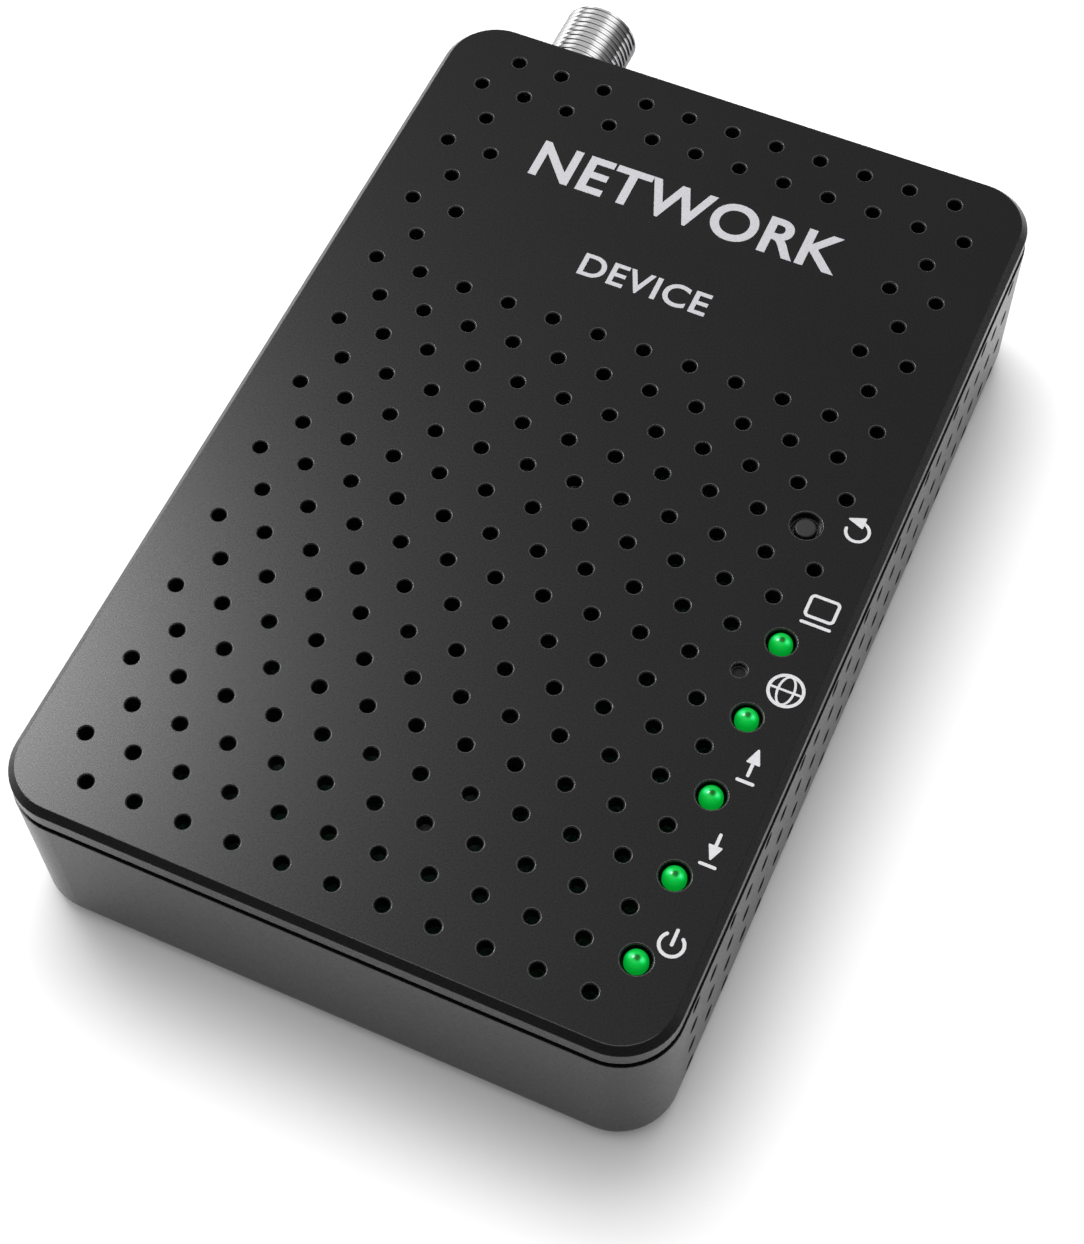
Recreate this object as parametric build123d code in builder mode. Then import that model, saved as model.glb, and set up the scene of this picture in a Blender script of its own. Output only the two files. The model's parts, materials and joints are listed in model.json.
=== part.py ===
import os
from math import cos, radians, sin, sqrt

from build123d import *

# A small desktop cable modem. Millimetres, +Z up, standing on its feet at z = 0.
# The front is at -Y and the coaxial connector sticks out of the back at +Y, so the case's
# centre lies half the connector's reach in front of the origin, which is the box's centre.

# ---- Driving dimensions -------------------------------------------------------------
pitch = 5.5                     # triangular vent lattice
row = pitch * sqrt(3) / 2       # distance between two rows of that lattice
vent_radius = 0.8
side_vent_radius = 0.9
edge_break = 0.12               # softened edge of every hole in the shells

case_width = 73.4
case_length = 115.2
case_height = 24.4
corner_radius = 6.65
wall = 2.1
floor_thickness = 1.8
bottom_edge_radius = 2.0
foot_stand = 1.0                # height by which the feet lift the case
connector_reach = 12.9          # how far the coaxial connector stands out of the back wall

cover_inset = 0.15              # the cover stands in by this much from the lower case
band_depth = 2.75               # top face to the lower edge of the cover's skirt
seam = 0.85                     # shadow gap between the skirt and the lower case
bevel_run = 0.78                # bevel round the top face, measured inwards
bevel_drop = 0.9                # and downwards
plate_thickness = 2.0
skirt = 0.85
tongue_inset = 1.1              # lower case wall to the tongue that stands inside the skirt

board_thickness = 1.6
board_gap = 2.6                 # under the board, for its solder side
board_width = 67.0
board_length = 109.2
board_corner = 4.0

# ---- Levels and places worked out from them -----------------------------------------
case_y = -connector_reach / 2
underside = foot_stand
floor_top = underside + floor_thickness
top_face = underside + case_height
plate_underside = top_face - plate_thickness
skirt_edge = top_face - band_depth
rim = skirt_edge - seam
tongue_top = plate_underside - 0.1
board_underside = floor_top + board_gap
board_top = board_underside + board_thickness
back_face = case_length / 2

tower_places = [(-31.2, -52.4), (31.2, -52.4), (-30.8, 7 * row), (30.8, 7 * row)]
foot_places = [(x, y) for x in (-27.0, 27.0) for y in (-43.0, 43.0)]
board_screw_places = [(-12.7, 49.0), (12.2, 49.0), (-24.5, -51.0), (24.5, -51.0)]


def lattice(u, v):
    """Centre of a lattice place: u half pitches from the left end, v rows from the back."""
    return ((u / 2 - 5.5) * pitch, (11 - v) * row)


reset_place = lattice(21, 10)
led_places = [lattice(22, v) for v in (13, 15, 17, 19, 21)]
blind_vent_place = lattice(21, 14)


def level(z, x=0.0, y=0.0):
    """Level work plane at height z, its origin x and y from the case's centre."""
    return Plane((x, case_y + y, z))


def level_below(z):
    """Level work plane at height z that faces down, so its local y is -Y."""
    return Plane((0, case_y, z), x_dir=(1, 0, 0), z_dir=(0, 0, -1))


def from_below(places):
    """The same places in the local coordinates of a plane that faces down."""
    return [(x, -y) for x, y in places]


def upright(y, x=0.0, z=0.0):
    """Upright work plane across the case: local x is +X, local y is +Z, and it faces the front."""
    return Plane((x, case_y + y, z), x_dir=(1, 0, 0), z_dir=(0, -1, 0))


def profile_plane(x, z=0.0):
    """Upright work plane along the case: local x is +Y from the case's centre, local y is +Z."""
    return Plane((x, case_y, z), x_dir=(0, 1, 0), z_dir=(1, 0, 0))


def save(builder, name):
    """Label a finished piece and write it."""
    builder.part.label = name
    export_step(builder.part, f"parts/{name}.step")


os.makedirs("parts", exist_ok=True)

# ---- Vents ---------------------------------------------------------------------------


def top_vents():
    """Every open vent of the cover: the lattice less the printed area, button, lights and blind vent."""
    taken = [reset_place, blind_vent_place] + led_places
    places = []
    for v in range(23):
        for u in range(1 - v % 2, 23, 2):
            in_printed_area = 2 <= v <= 6 and 2 < u < 20
            if not in_printed_area and lattice(u, v) not in taken:
                places.append(lattice(u, v))
    return places


def side_vents():
    """Vents of one side wall as (along the case, height)."""
    first_y = -10 * row
    top_row = top_face - 0.944 * pitch
    places = []
    for column in range(21):
        rows = 4 - column % 2
        drop = (column % 2) / 2
        for step in range(rows):
            places.append((first_y + column * row, top_row - (step + drop) * pitch))
    return places


def underside_vents():
    """Two fields of vents in front of and behind the rating label."""
    places = []
    for k in (5, 6, 7, 8):
        for u in range(4 - k % 2, 19, 2):
            x = (u / 2 - 5.5) * pitch
            places += [(x, k * row), (x, -k * row)]
    return places


# ---- Cover ---------------------------------------------------------------------------
cover_width = case_width - 2 * cover_inset
cover_length = case_length - 2 * cover_inset
cover_corner = corner_radius - cover_inset
boss_radius = 2.2
boss_foot = 18.0
pilot_radius = 1.12
boss_pilot_depth = 4.6
led_window_radius = 1.6
button_window_radius = 1.7
button_window_depth = 1.2
guide_radius = 2.5
guide_bore = 1.25
guide_foot = 18.0
carrier_top = 22.4
carrier_bottom = 20.4
stake_places = [blind_vent_place, (led_places[0][0], lattice(22, 20)[1])]
stake_shoulder = 1.5
stake_radius = 0.8
stake_head_radius = 1.4
stake_head = 0.6
blind_vent_depth = 0.7

with BuildPart() as top_cover:
    with BuildSketch(level(skirt_edge)):
        RectangleRounded(cover_width, cover_length, cover_corner)
    extrude(amount=band_depth)
    top = top_cover.faces().sort_by(Axis.Z)[-1]
    chamfer(top.edges(), length=bevel_run, length2=bevel_drop, reference=top)
    with BuildSketch(level(skirt_edge)):
        RectangleRounded(cover_width - 2 * skirt, cover_length - 2 * skirt, cover_corner - skirt)
    extrude(amount=plate_underside - skirt_edge, mode=Mode.SUBTRACT)
    # screw bosses, button guide and the two stakes that hold the light pipe
    with BuildSketch(level(boss_foot)):
        with Locations(*tower_places):
            Circle(boss_radius)
    extrude(amount=plate_underside - boss_foot)
    with BuildSketch(level(guide_foot)):
        with Locations(reset_place):
            Circle(guide_radius)
    extrude(amount=plate_underside - guide_foot)
    with BuildSketch(level(carrier_top)):
        with Locations(*stake_places):
            Circle(stake_shoulder)
    extrude(amount=plate_underside - carrier_top)
    with BuildSketch(level(carrier_bottom)):
        with Locations(*stake_places):
            Circle(stake_radius)
    extrude(amount=carrier_top - carrier_bottom)
    with BuildSketch(level(carrier_bottom - stake_head)):
        with Locations(*stake_places):
            Circle(stake_head_radius)
    extrude(amount=stake_head)
    # openings in the top face
    with Locations(level(top_face)):
        with Locations(*top_vents()):
            CounterSinkHole(vent_radius, vent_radius + edge_break, plate_thickness + 0.5, 90)
        with Locations(*led_places):
            CounterSinkHole(led_window_radius, led_window_radius + edge_break, plate_thickness + 0.5, 90)
        with Locations(reset_place):
            CounterBoreHole(guide_bore, button_window_radius, button_window_depth, top_face - guide_foot + 1)
            CounterSinkHole(button_window_radius, button_window_radius + edge_break, 0.5, 90)
    with BuildSketch(level(top_face, *blind_vent_place)):
        Circle(vent_radius)
    extrude(amount=-blind_vent_depth, mode=Mode.SUBTRACT)
    blind_vent_edges = top_cover.edges().filter_by(GeomType.CIRCLE).filter_by(
        lambda edge: abs(edge.arc_center.X - blind_vent_place[0]) < 0.01
        and abs(edge.arc_center.Y - case_y - blind_vent_place[1]) < 0.01
    )
    chamfer(blind_vent_edges.sort_by(Axis.Z)[-1], length=edge_break)
    with Locations(level_below(boss_foot)):
        with Locations(*from_below(tower_places)):
            Hole(pilot_radius, boss_pilot_depth)
save(top_cover, "top_cover")

# ---- Lower case ----------------------------------------------------------------------
tower_radius = 2.9
tower_seat = 12.0               # height at which the case screws' heads bear
well_radius = 2.2
shank_clearance = 1.3
board_post_radius = 2.5
board_pilot_radius = 1.02
board_pilot_depth = 2.4
foot_recess = 0.4
foot_radius = 4.5
label_width = 50.0
label_length = 36.0
label_recess = 0.3
label_corner = 2.0
label_gap = 0.3
label_thickness = 0.2
foot_gap = 0.1
foot_rounding = 0.4
window_width = 62.0             # opening in the back wall that the rear panel closes
window_sill = 3.5
groove = 1.0                    # the panel's flange reaches this far behind the wall each side

with BuildPart() as bottom_case:
    with BuildSketch(level(underside)):
        RectangleRounded(case_width, case_length, corner_radius)
    extrude(amount=rim - underside)
    fillet(bottom_case.faces().sort_by(Axis.Z)[0].edges(), radius=bottom_edge_radius)
    with BuildSketch(level(rim)):
        RectangleRounded(
            case_width - 2 * tongue_inset, case_length - 2 * tongue_inset, corner_radius - tongue_inset
        )
    extrude(amount=tongue_top - rim)
    with BuildSketch(level(floor_top)):
        RectangleRounded(case_width - 2 * wall, case_length - 2 * wall, corner_radius - wall)
    extrude(amount=top_face - floor_top, mode=Mode.SUBTRACT)
    with BuildSketch(level(floor_top)):
        with Locations(*tower_places):
            Circle(tower_radius)
    extrude(amount=boss_foot - floor_top)
    with BuildSketch(level(floor_top)):
        with Locations(*board_screw_places):
            Circle(board_post_radius)
    extrude(amount=board_gap)
    with Locations(level(board_underside)):
        with Locations(*board_screw_places):
            Hole(board_pilot_radius, board_pilot_depth)
    # back window: a wide step inside, a narrower one outside, open at the rim
    with BuildSketch(upright(back_face - tongue_inset, z=window_sill)):
        Rectangle(window_width + 2 * groove, top_face, align=(Align.CENTER, Align.MIN))
    extrude(amount=wall - tongue_inset + 0.1, mode=Mode.SUBTRACT)
    with BuildSketch(upright(back_face + 1, z=window_sill)):
        Rectangle(window_width, top_face, align=(Align.CENTER, Align.MIN))
    extrude(amount=1 + tongue_inset, mode=Mode.SUBTRACT)
    # underside: screw wells, vents, recesses for the feet and the label
    with Locations(level_below(underside)):
        with Locations(*from_below(tower_places)):
            CounterBoreHole(shank_clearance, well_radius, tower_seat - underside, boss_foot - underside)
        with Locations(*underside_vents()):
            CounterSinkHole(vent_radius, vent_radius + edge_break, floor_thickness, 90)
    with BuildSketch(level_below(underside)):
        with Locations(*foot_places):
            Circle(foot_radius + foot_gap)
    extrude(amount=-foot_recess, mode=Mode.SUBTRACT)
    with BuildSketch(level_below(underside)):
        RectangleRounded(label_width + 2 * label_gap, label_length + 2 * label_gap, label_corner + label_gap)
    extrude(amount=-label_recess, mode=Mode.SUBTRACT)
    # vents in both side walls
    for side in (-1, 1):
        outside = Plane((side * case_width / 2, case_y, 0), x_dir=(0, side, 0), z_dir=(side, 0, 0))
        with Locations(outside):
            with Locations(*[(side * y, z) for y, z in side_vents()]):
                CounterSinkHole(side_vent_radius, side_vent_radius + edge_break, wall + 0.3, 90)
save(bottom_case, "bottom_case")

# ---- Feet, label and screws ----------------------------------------------------------
for number, (x, y) in enumerate(foot_places, start=1):
    with BuildPart() as foot:
        with BuildSketch(level(0, x, y)):
            Circle(foot_radius)
        extrude(amount=foot_stand + foot_recess)
        fillet(foot.faces().sort_by(Axis.Z)[0].edges(), radius=foot_rounding)
    save(foot, f"rubber_foot_{number}")

with BuildPart() as rating_label:
    with BuildSketch(level(underside + label_recess)):
        RectangleRounded(label_width, label_length, label_corner)
    extrude(amount=-label_thickness)
save(rating_label, "rating_label")


def cross(plane, places, size):
    """Cross-shaped driver recess at each place of a plane."""
    with BuildSketch(plane, mode=Mode.PRIVATE) as recess:
        with Locations(*places):
            Rectangle(size, size / 4)
            Rectangle(size / 4, size)
    return recess.sketch


case_screw_radius = 1.1
case_screw_length = 10.0
case_screw_head_radius = 2.0
case_screw_head = 1.5
board_screw_radius = 1.0
board_screw_length = 3.8
board_screw_head_radius = 1.9
board_screw_head = 1.4
head_rounding = 0.5
cross_size = 2.1
cross_depth = 0.95

with BuildPart() as case_screws:
    with BuildSketch(level(tower_seat)):
        with Locations(*tower_places):
            Circle(case_screw_radius)
    extrude(amount=case_screw_length)
    with BuildSketch(level(tower_seat - case_screw_head)):
        with Locations(*tower_places):
            Circle(case_screw_head_radius)
    extrude(amount=case_screw_head)
    fillet(case_screws.faces().group_by(Axis.Z)[0].edges(), radius=head_rounding)
    recess = cross(level_below(tower_seat - case_screw_head), from_below(tower_places), cross_size)
    extrude(recess, amount=-cross_depth, mode=Mode.SUBTRACT)
save(case_screws, "case_screws")

with BuildPart() as board_screws:
    with BuildSketch(level(board_top)):
        with Locations(*board_screw_places):
            Circle(board_screw_head_radius)
    extrude(amount=board_screw_head)
    fillet(board_screws.faces().group_by(Axis.Z)[-1].edges(), radius=head_rounding)
    recess = cross(level(board_top + board_screw_head), board_screw_places, cross_size)
    extrude(recess, amount=-cross_depth, mode=Mode.SUBTRACT)
    with BuildSketch(level(board_top)):
        with Locations(*board_screw_places):
            Circle(board_screw_radius)
    extrude(amount=-board_screw_length)
save(board_screws, "board_screws")

# ---- Rear panel ----------------------------------------------------------------------
coax_x = -24.4
coax_z = 14.4
coax_panel_hole = 5.2
jack_x = 0.0                    # Ethernet socket
jack_width = 16.0
jack_height = 13.4
supply_x = 21.0                 # supply socket
supply_width = 9.0
supply_height = 11.0
supply_axis = board_top + 6.5
gap = 0.2                       # round everything that looks out of the panel
panel_width = window_width - 0.2
panel_sill = window_sill + 0.1


def supply_outline(grow=0.0):
    """Front outline of the supply socket: a block with an arched top, on the open sketch."""
    half = supply_width / 2 + grow
    Circle(half)
    Rectangle(2 * half, supply_axis - board_top + grow, align=(Align.CENTER, Align.MAX))


with BuildPart() as rear_panel:
    # flange behind the wall, rounded with the tongue that it continues at the top
    with BuildSketch(upright(back_face - tongue_inset, z=panel_sill)):
        Rectangle(panel_width + 2 * groove, tongue_top - panel_sill, align=(Align.CENTER, Align.MIN))
    extrude(amount=wall - tongue_inset)
    with BuildSketch(level(0)):
        RectangleRounded(
            case_width - 2 * tongue_inset, case_length - 2 * tongue_inset, corner_radius - tongue_inset
        )
    extrude(amount=top_face, mode=Mode.INTERSECT)
    # face plate, flush with the wall
    with BuildSketch(upright(back_face, z=panel_sill)):
        Rectangle(panel_width, rim - panel_sill, align=(Align.CENTER, Align.MIN))
    extrude(amount=tongue_inset)
    with BuildSketch(level(0)):
        RectangleRounded(case_width, case_length, corner_radius)
    extrude(amount=top_face, mode=Mode.INTERSECT)
    with BuildSketch(upright(back_face + 1, coax_x, coax_z)):
        Circle(coax_panel_hole)
    extrude(amount=wall + 2, mode=Mode.SUBTRACT)
    with BuildSketch(upright(back_face + 1, jack_x, board_top - gap)):
        Rectangle(jack_width + 2 * gap, jack_height + 2 * gap, align=(Align.CENTER, Align.MIN))
    extrude(amount=wall + 2, mode=Mode.SUBTRACT)
    with BuildSketch(upright(back_face + 1, supply_x, supply_axis)):
        supply_outline(gap)
    extrude(amount=wall + 2, mode=Mode.SUBTRACT)
save(rear_panel, "rear_panel")

# ---- Coaxial connector, 3/8-32 thread ------------------------------------------------
thread_radius = 4.7625
thread_pitch = 25.4 / 32
thread_depth = 0.34
crest = thread_pitch * 0.35      # wide flat crests, as rolled
root = thread_pitch * 0.15
coax_end = back_face + connector_reach
coax_bore = 3.0
block_front = 42.5
block_back = 54.0
block_width = 14.0
block_top = 20.6
collar_radius = 5.9
collar_length = 1.2
leg_reach = 1.2                 # solder legs stand this far out under the board
leg_radius = 0.5
mouth_depth = 0.6
contact_radius = 0.9
contact_bore = 0.5
contact_bore_depth = 9.0
contact_leg_y = 47.2
contact_channel = 1.6           # radius of the way down for the contact's leg
insulator_face = coax_end - 0.4
contact_face = coax_end - 1.4
coax_legs = [(coax_x + sx * 5.6, y) for sx in (-1, 1) for y in (44.2, 52.4)]
coax_axis = Axis((coax_x, case_y, coax_z), (0, 1, 0))


def thread_outline():
    """Points of the barrel's outside from the block to the free end, as (along, radius)."""
    first = back_face + 0.1
    turns = int((coax_end - 0.7 - first) / thread_pitch)
    flank = (thread_pitch - crest - root) / 2
    low = thread_radius - thread_depth
    points = [(block_back - 1, low), (first, low)]
    for turn in range(turns):
        start = first + turn * thread_pitch
        points.append((start + flank, thread_radius))
        points.append((start + flank + crest, thread_radius))
        points.append((start + 2 * flank + crest, low))
        points.append((start + thread_pitch, low))
    points.append((first + turns * thread_pitch + flank, thread_radius))
    points.append((coax_end - 0.4, thread_radius))
    points.append((coax_end, thread_radius - 0.4))
    return points


with BuildPart() as coax_body:
    with BuildSketch(profile_plane(coax_x, coax_z)):
        with BuildLine():
            Polyline(*[(block_back - 1, 0), *thread_outline(), (coax_end, 0)], close=True)
        make_face()
    revolve(axis=coax_axis)
    with BuildSketch(level(board_top, coax_x, (block_front + block_back) / 2)):
        RectangleRounded(block_width, block_back - block_front, 1.0)
    extrude(amount=block_top - board_top)
    chamfer(coax_body.faces().filter_by(Axis.Z).sort_by(Axis.Z)[-1].edges(), length=0.8)
    with BuildSketch(upright(block_back, coax_x, coax_z)):
        Circle(collar_radius)
    extrude(amount=-collar_length)
    with BuildSketch(level(board_top)):
        with Locations(*coax_legs):
            Circle(leg_radius)
    extrude(amount=-board_thickness - leg_reach)
    # bore for the insulator, a relieved mouth, and the way down for the contact's leg
    with BuildSketch(upright(coax_end, coax_x, coax_z)):
        Circle(coax_bore)
    extrude(amount=coax_end - contact_leg_y + contact_channel, mode=Mode.SUBTRACT)
    with BuildSketch(upright(coax_end, coax_x, coax_z)):
        Circle(coax_bore + 0.5)
    extrude(amount=mouth_depth, mode=Mode.SUBTRACT)
    with BuildSketch(level(board_top, coax_x, contact_leg_y)):
        Circle(contact_channel)
    extrude(amount=coax_z - board_top, mode=Mode.SUBTRACT)
save(coax_body, "coax_connector_body")

with BuildPart() as coax_insulator:
    with BuildSketch(upright(insulator_face, coax_x, coax_z)):
        Circle(coax_bore)
        Circle(contact_radius + 0.05, mode=Mode.SUBTRACT)
    extrude(amount=insulator_face - contact_leg_y - 1.2)
save(coax_insulator, "coax_insulator")

with BuildPart() as coax_contact:
    with BuildSketch(upright(contact_face, coax_x, coax_z)):
        Circle(contact_radius)
    extrude(amount=contact_face - contact_leg_y + leg_radius)
    with BuildSketch(upright(contact_face, coax_x, coax_z)):
        Circle(contact_bore)
    extrude(amount=contact_bore_depth, mode=Mode.SUBTRACT)
    with BuildSketch(level(coax_z, coax_x, contact_leg_y)):
        Circle(leg_radius - 0.05)
    extrude(amount=board_underside - leg_reach - coax_z)
save(coax_contact, "coax_contact")

# ---- Ethernet socket -----------------------------------------------------------------
jack_face = back_face - 0.3
jack_back = 42.6
sheet = 0.25
port_width = 11.9
port_height = 8.3
port_floor = board_top + 1.6
port_depth = 12.0
latch_width = 6.4
latch_height = 2.0
jack_middle_y = (jack_face + jack_back) / 2
jack_legs = [(side * (jack_width - sheet) / 2, y) for side in (-1, 1) for y in (46.0, 52.0)]
wire_pitch = 1.02
wire = 0.4
wire_places = [(number - 3.5) * wire_pitch for number in range(8)]
wire_leg_y = jack_back + 1.1


def port_outline(grow=0.0):
    """Mouth for a modular plug with its latch on top, on the open sketch."""
    with Locations((0, port_floor - grow)):
        Rectangle(port_width + 2 * grow, port_height + 2 * grow, align=(Align.CENTER, Align.MIN))
        Rectangle(
            latch_width + 2 * grow, port_height + latch_height + 2 * grow, align=(Align.CENTER, Align.MIN)
        )


with BuildPart() as ethernet_shield:
    with BuildSketch(level(board_top, jack_x, jack_middle_y)):
        Rectangle(jack_width, jack_face - jack_back)
    extrude(amount=jack_height)
    with BuildSketch(level(board_top, jack_x, jack_middle_y)):
        Rectangle(jack_width - 2 * sheet, jack_face - jack_back - 2 * sheet)
    extrude(amount=jack_height - sheet, mode=Mode.SUBTRACT)
    with BuildSketch(upright(jack_face + 1, jack_x)):
        port_outline(0.15)
    extrude(amount=1 + sheet + 0.1, mode=Mode.SUBTRACT)
    with BuildSketch(level(board_top, jack_x)):
        with Locations(*jack_legs):
            Rectangle(sheet, 1.4)
    extrude(amount=-board_thickness - leg_reach)
save(ethernet_shield, "ethernet_shield")

with BuildPart() as ethernet_housing:
    with BuildSketch(level(board_top, jack_x, jack_middle_y)):
        Rectangle(jack_width - 2 * sheet - 0.1, jack_face - jack_back - 2 * sheet - 0.1)
    extrude(amount=jack_height - sheet - 0.05)
    with BuildSketch(upright(jack_face, jack_x)):
        port_outline()
    extrude(amount=port_depth + 0.3, mode=Mode.SUBTRACT)
    # behind the port: a slot for the wires and a channel for their legs
    with BuildSketch(profile_plane(jack_x)):
        with Locations((jack_back, board_top)):
            Rectangle(1.9, 4.7, align=Align.MIN)
            with Locations((0, 3.3)):
                Rectangle(5.0, 1.4, align=Align.MIN)
    extrude(amount=4.5, both=True, mode=Mode.SUBTRACT)
save(ethernet_housing, "ethernet_housing")

with BuildPart() as ethernet_contacts:
    wire_run = [
        (jack_face - 2.0, port_floor + 0.3),
        (jack_face - 3.4, port_floor + 0.5),
        (wire_leg_y + 4.0, port_floor + 2.4),
        (wire_leg_y + 0.6, port_floor + 2.4),
        (wire_leg_y, port_floor + 1.8),
        (wire_leg_y, board_underside - leg_reach),
    ]
    for place in wire_places:
        with BuildSketch(profile_plane(jack_x + place)):
            with BuildLine():
                Polyline(*wire_run)
            trace(line_width=wire)
        extrude(amount=wire / 2, both=True)
save(ethernet_contacts, "ethernet_contacts")

# ---- Supply socket -------------------------------------------------------------------
supply_face = back_face - 0.3
supply_nose = 3.4               # length of the part of the housing that looks out of the panel
supply_back = supply_face - 14.2
supply_body_width = 8.2
barrel_radius = 3.15
barrel_depth = 9.8
pin_radius = 1.05
pin_tail_radius = 0.75          # of the centre pin where it is held in the housing
leg_pocket = 2.4
supply_pin_leg_y = supply_back + 1.0
supply_spring_leg_y = supply_back + 6.0

with BuildPart() as supply_housing:
    with BuildSketch(upright(supply_face, supply_x, supply_axis)):
        supply_outline()
    extrude(amount=supply_nose)
    with BuildSketch(upright(supply_face - supply_nose, supply_x, supply_axis)):
        Circle(supply_body_width / 2)
        with Locations((0, -supply_axis + board_top)):
            Rectangle(supply_body_width, supply_axis - board_top, align=(Align.CENTER, Align.MIN))
    extrude(amount=supply_face - supply_nose - supply_back)
    with BuildSketch(upright(supply_face, supply_x, supply_axis)):
        Circle(barrel_radius)
    extrude(amount=barrel_depth, mode=Mode.SUBTRACT)
    # way through for the centre pin, and pockets for the two solder legs
    with BuildSketch(upright(supply_face - barrel_depth, supply_x, supply_axis)):
        Circle(pin_tail_radius + 0.05)
    extrude(amount=supply_face - barrel_depth - supply_back - 1.0, mode=Mode.SUBTRACT)
    with BuildSketch(level(board_top, supply_x)):
        with Locations((0, supply_pin_leg_y)):
            Rectangle(leg_pocket, leg_pocket)
    extrude(amount=supply_axis - board_top + pin_radius, mode=Mode.SUBTRACT)
    with BuildSketch(level(board_top, supply_x)):
        with Locations((0, (supply_spring_leg_y + supply_face - 4.0) / 2)):
            Rectangle(leg_pocket, supply_face - 4.0 - supply_spring_leg_y + 1.0)
    extrude(amount=supply_axis - board_top - 2, mode=Mode.SUBTRACT)
save(supply_housing, "supply_jack_housing")

with BuildPart() as supply_pin:
    with BuildSketch(upright(supply_face - 0.5, supply_x, supply_axis)):
        Circle(pin_radius)
    extrude(amount=barrel_depth - 0.5)
    fillet(supply_pin.faces().sort_by(Axis.Y)[-1].edges(), radius=0.5)
    with BuildSketch(upright(supply_face - barrel_depth, supply_x, supply_axis)):
        Circle(pin_tail_radius)
    extrude(amount=supply_face - barrel_depth - supply_back - 0.4)
    with BuildSketch(level(supply_axis, supply_x, supply_pin_leg_y)):
        Rectangle(1.8, 0.5)
    extrude(amount=board_underside - leg_reach - supply_axis)
save(supply_pin, "supply_jack_pin")

with BuildPart() as supply_spring:
    leaf_top = supply_axis - barrel_radius + 0.35
    with BuildSketch(profile_plane(supply_x)):
        with BuildLine():
            Polyline(
                (supply_face - 4.6, leaf_top - 1.0),
                (supply_face - 5.6, leaf_top),
                (supply_spring_leg_y + 1.0, leaf_top - 1.2),
                (supply_spring_leg_y, leaf_top - 1.6),
                (supply_spring_leg_y, board_underside - leg_reach),
            )
        trace(line_width=0.3)
    extrude(amount=0.9, both=True)
save(supply_spring, "supply_jack_spring")

# ---- Main board ----------------------------------------------------------------------
with BuildPart() as main_board:
    with BuildSketch(level(board_underside)):
        RectangleRounded(board_width, board_length, board_corner)
        with Locations(*tower_places):
            Circle(tower_radius + 0.5, mode=Mode.SUBTRACT)
        with Locations(*board_screw_places):
            Circle(board_screw_radius + 0.15, mode=Mode.SUBTRACT)
        with Locations(*coax_legs, (coax_x, contact_leg_y)):
            Circle(leg_radius + 0.1, mode=Mode.SUBTRACT)
        with Locations(*[(jack_x + x, y) for x, y in jack_legs]):
            Rectangle(0.6, 1.8, mode=Mode.SUBTRACT)
        with Locations(*[(jack_x + x, wire_leg_y) for x in wire_places]):
            Circle(0.4, mode=Mode.SUBTRACT)
        with Locations((supply_x, supply_pin_leg_y), (supply_x, supply_spring_leg_y)):
            Rectangle(2.2, 0.9, mode=Mode.SUBTRACT)
    extrude(amount=board_thickness)
save(main_board, "main_board")

# ---- Parts on the board --------------------------------------------------------------


def leaded_chip(name, place, width, length, height, leads, lead_width):
    """Moulded package on the board with a row of gull-wing leads along two sides, centred on place."""
    spacing = (length - lead_width * 2) / leads
    with BuildPart() as chip:
        with BuildSketch(level(board_top + 0.1, *place)):
            Rectangle(width, length)
        extrude(amount=height - 0.1)
        chamfer(chip.faces().sort_by(Axis.Z)[-1].edges(), length=0.25)
        with BuildSketch(level(board_top, *place)):
            for side in (-1, 1):
                with Locations((side * (width / 2 + 0.6), 0)):
                    with GridLocations(1, spacing, 1, leads):
                        Rectangle(1.0, lead_width)
        extrude(amount=0.2)
        with BuildSketch(level(board_top, *place)):
            for side in (-1, 1):
                with Locations((side * (width / 2 + 0.05), 0)):
                    with GridLocations(1, spacing, 1, leads):
                        Rectangle(0.3, lead_width)
        extrude(amount=height * 0.5)
        with Locations(level(board_top + height, *place)):
            with Locations((-width / 2 + 1.0, length / 2 - 1.0)):
                Hole(0.35, 0.1)
    save(chip, name)


def flat_chip(name, place, size, height, on=board_top):
    """Square or oblong package without leads, with a marked first corner."""
    with BuildPart() as chip:
        with BuildSketch(level(on, *place)):
            Rectangle(*size)
        extrude(amount=height)
        chamfer(chip.faces().sort_by(Axis.Z)[-1].edges(), length=0.15)
        with Locations(level(on + height, *place)):
            with Locations((-size[0] / 2 + 1.0, size[1] / 2 - 1.0)):
                Hole(0.35, 0.1)
    save(chip, name)


def electrolytic(name, place, radius, height):
    """Surface-mount electrolytic capacitor: plastic base, crimped can and scored vent."""
    with BuildPart() as capacitor:
        with BuildSketch(level(board_top, *place)):
            Rectangle(2 * radius + 0.3, 2 * radius + 0.3)
            chamfer(vertices().sort_by(Axis.Y)[-2:], length=radius * 0.3)
        extrude(amount=1.0)
        with BuildSketch(level(board_top + 1.0, *place)):
            Circle(radius)
        extrude(amount=height - 1.0)
        with BuildSketch(level(board_top + 2.0, *place)):
            Circle(radius + 1)
            Circle(radius - 0.3, mode=Mode.SUBTRACT)
        extrude(amount=0.7, mode=Mode.SUBTRACT)
        fillet(capacitor.faces().sort_by(Axis.Z)[-1].edges(), radius=0.5)
        with BuildSketch(level(board_top + height, *place)):
            Rectangle(radius * 1.2, 0.25)
            Rectangle(0.25, radius * 1.2)
        extrude(amount=-0.2, mode=Mode.SUBTRACT)
    save(capacitor, name)


def inductor(name, place, side, height):
    """Shielded power inductor: rounded block with a round winding window on top."""
    with BuildPart() as coil:
        with BuildSketch(level(board_top, *place)):
            RectangleRounded(side, side, side / 6)
        extrude(amount=height)
        with BuildSketch(level(board_top + height, *place)):
            Circle(side * 0.4)
            Circle(side * 0.3, mode=Mode.SUBTRACT)
        extrude(amount=-0.4, mode=Mode.SUBTRACT)
    save(coil, name)


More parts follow.
